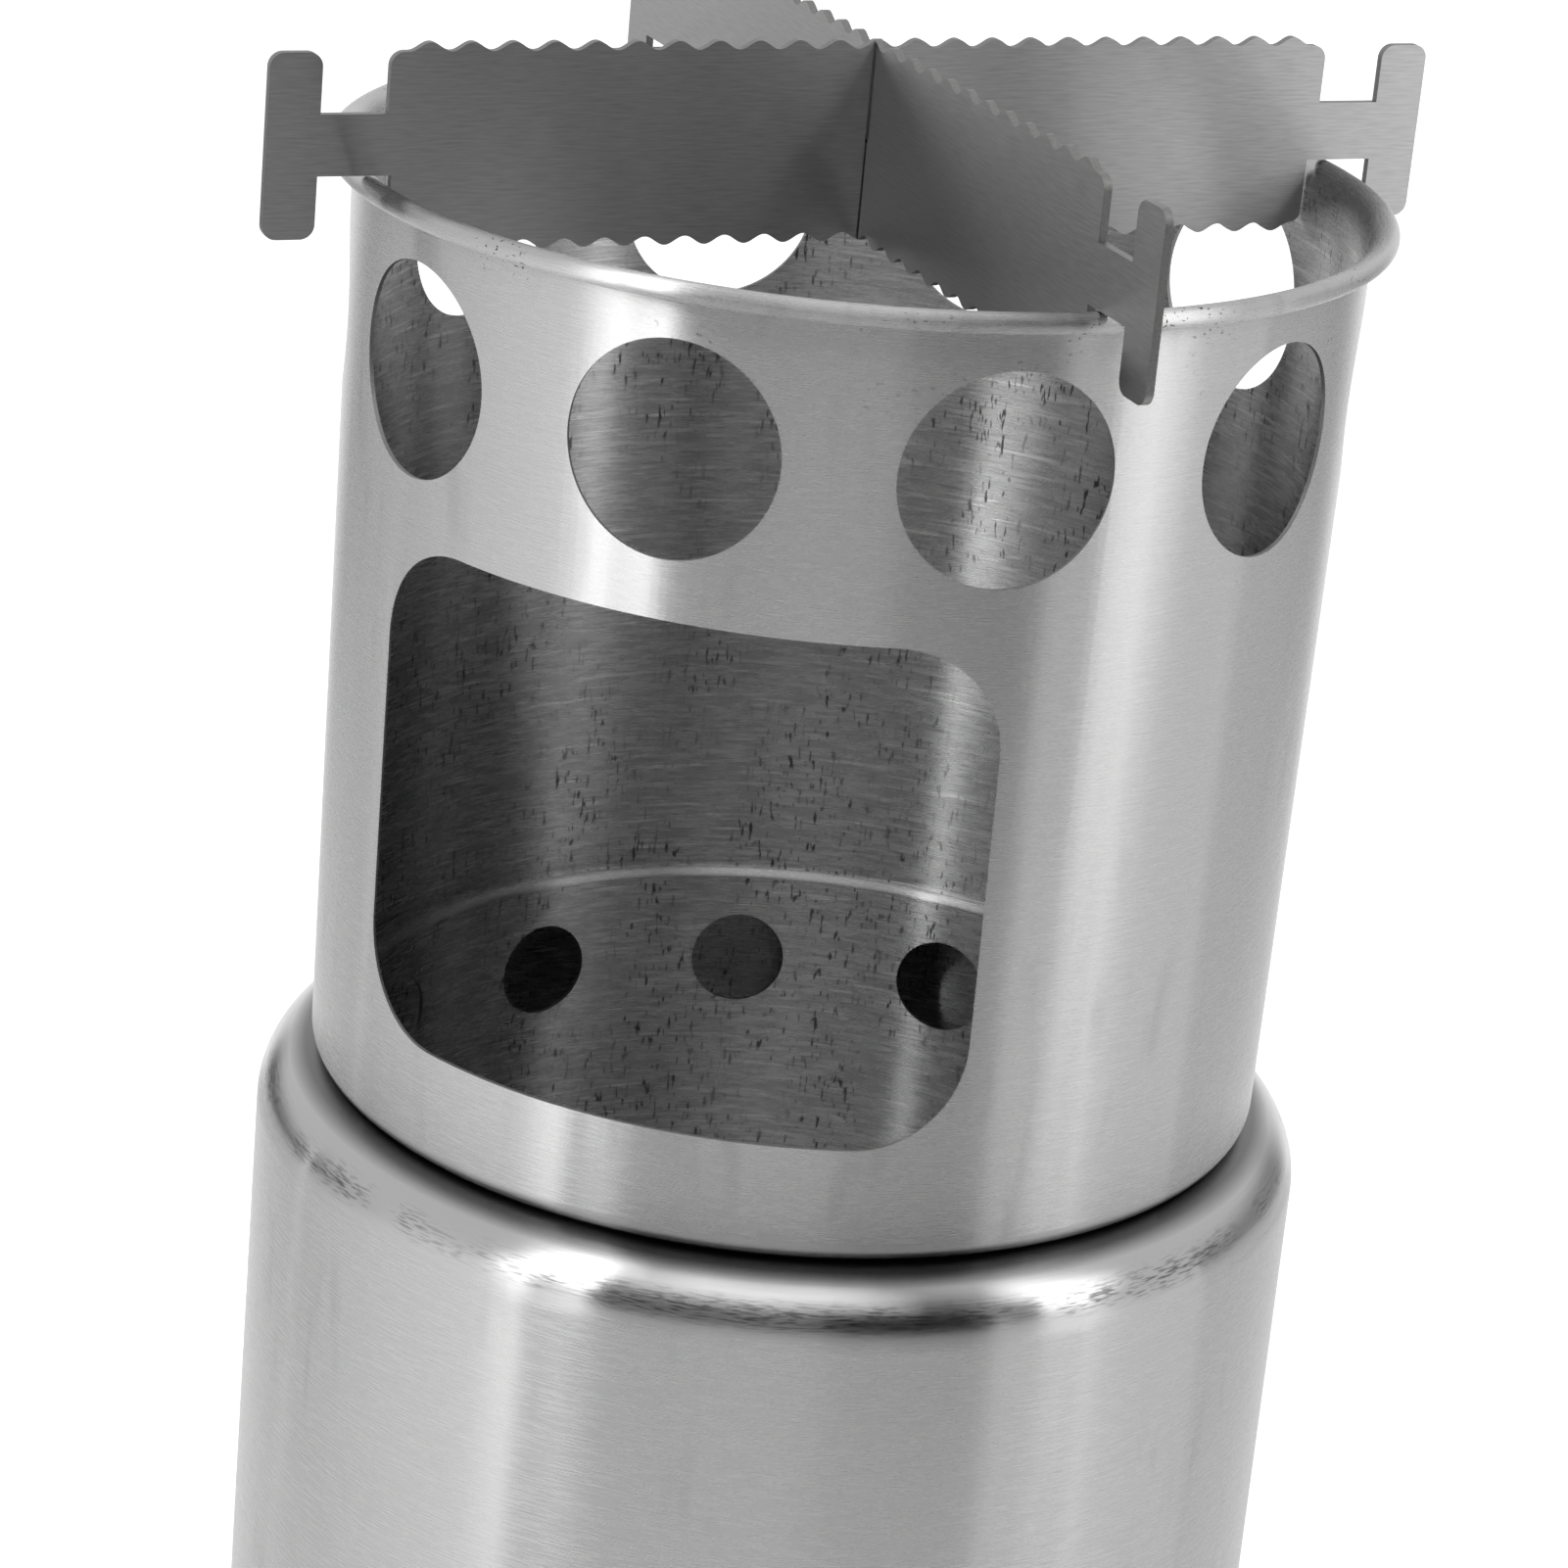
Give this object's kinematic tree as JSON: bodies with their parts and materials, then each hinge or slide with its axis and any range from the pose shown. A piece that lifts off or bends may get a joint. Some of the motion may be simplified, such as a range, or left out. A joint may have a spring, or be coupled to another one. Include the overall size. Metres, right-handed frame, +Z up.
{
  "type": "twig stove",
  "caption": "Round camp stove of stainless sheet: wide base with air intakes, tall chamber with fuel door and exhaust holes, and crossed pot supports on its rim.",
  "frame": {"origin": "centre of the circle that the base stands on", "axes": "+Z up along the stove's axis, -Y towards the fuel door, +X to the right of someone facing the door"},
  "size_m": [0.1308, 0.1308, 0.2152],
  "materials": {
    "satin_shell": "satin",
    "inner_sheet": "satin",
    "support_plate": "satin"
  },
  "bodies": {
    "base": {"base_shell": "satin_shell", "base_floor": "inner_sheet"},
    "pan": {"ash_pan": "inner_sheet"},
    "chamber": {"fire_chamber": "satin_shell"},
    "bowl": {"fire_bowl": "inner_sheet"},
    "grate": {"fire_grate": "inner_sheet"},
    "lower_support": {"lower_pot_support": "support_plate"},
    "upper_support": {"upper_pot_support": "support_plate"}
  },
  "joints": [
    {"name": "pan_lift", "type": "slide", "parent": "base", "child": "pan", "axis": [0, 0, 1], "range_m": [0, 0.095]},
    {"name": "chamber_lift", "type": "slide", "parent": "pan", "child": "chamber", "axis": [0, 0, 1], "range_m": [0, 0.06]},
    {"name": "bowl_lift", "type": "slide", "parent": "chamber", "child": "bowl", "axis": [0, 0, 1], "range_m": [0, 0.09]},
    {"name": "grate_lift", "type": "slide", "parent": "bowl", "child": "grate", "axis": [0, 0, 1], "range_m": [0, 0.05]},
    {"name": "lower_support_lift", "type": "slide", "parent": "chamber", "child": "lower_support", "axis": [0, 0, 1], "range_m": [0, 0.04]},
    {"name": "upper_support_lift", "type": "slide", "parent": "lower_support", "child": "upper_support", "axis": [0, 0, 1], "range_m": [0, 0.03]}
  ]
}
